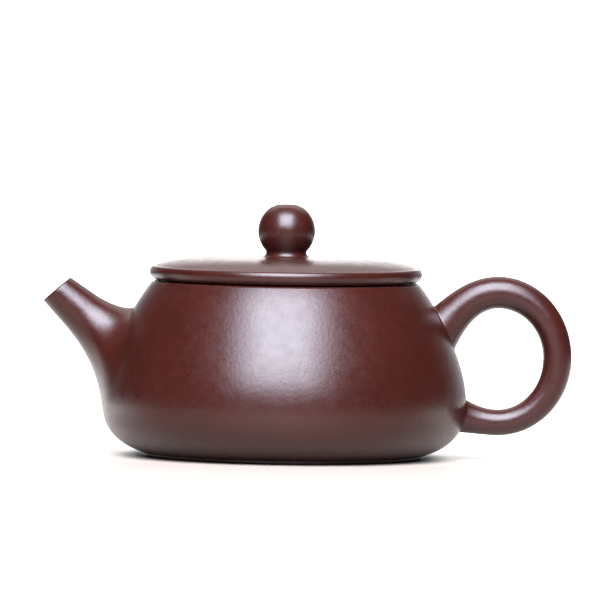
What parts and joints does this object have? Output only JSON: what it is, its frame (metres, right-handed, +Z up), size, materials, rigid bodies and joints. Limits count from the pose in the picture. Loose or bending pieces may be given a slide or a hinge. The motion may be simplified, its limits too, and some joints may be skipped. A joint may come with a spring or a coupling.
{
  "type": "clay teapot",
  "caption": "Round unglazed clay teapot with an overhanging domed lid and ball knob, a short flared spout with a ball strainer inside, and a round loop handle.",
  "frame": {"origin": "centre of the foot ring's underside, on the pot's axis, on the table", "axes": "+Z up along the pot's axis; the spout points to -X and the handle to +X"},
  "size_m": [0.1504, 0.1036, 0.0719],
  "materials": {
    "clay": "burnished purple-brown stoneware with a waxy sheen",
    "raw_clay": "unburnished purple-brown stoneware"
  },
  "bodies": {
    "pot": {"foot_ring": "clay", "base_disc": "clay", "body_wall": "clay", "top_disc": "clay", "mouth_ring": "clay", "spout": "clay", "strainer": "raw_clay", "handle": "clay"},
    "lid": {"lid_rim": "clay", "lid_plate": "clay", "lid_flange": "raw_clay", "knob": "clay"}
  },
  "joints": [
    {"name": "lid_lift", "type": "slide", "parent": "pot", "child": "lid", "axis": [0, 0, 1], "range_m": [0, 0.06]}
  ]
}
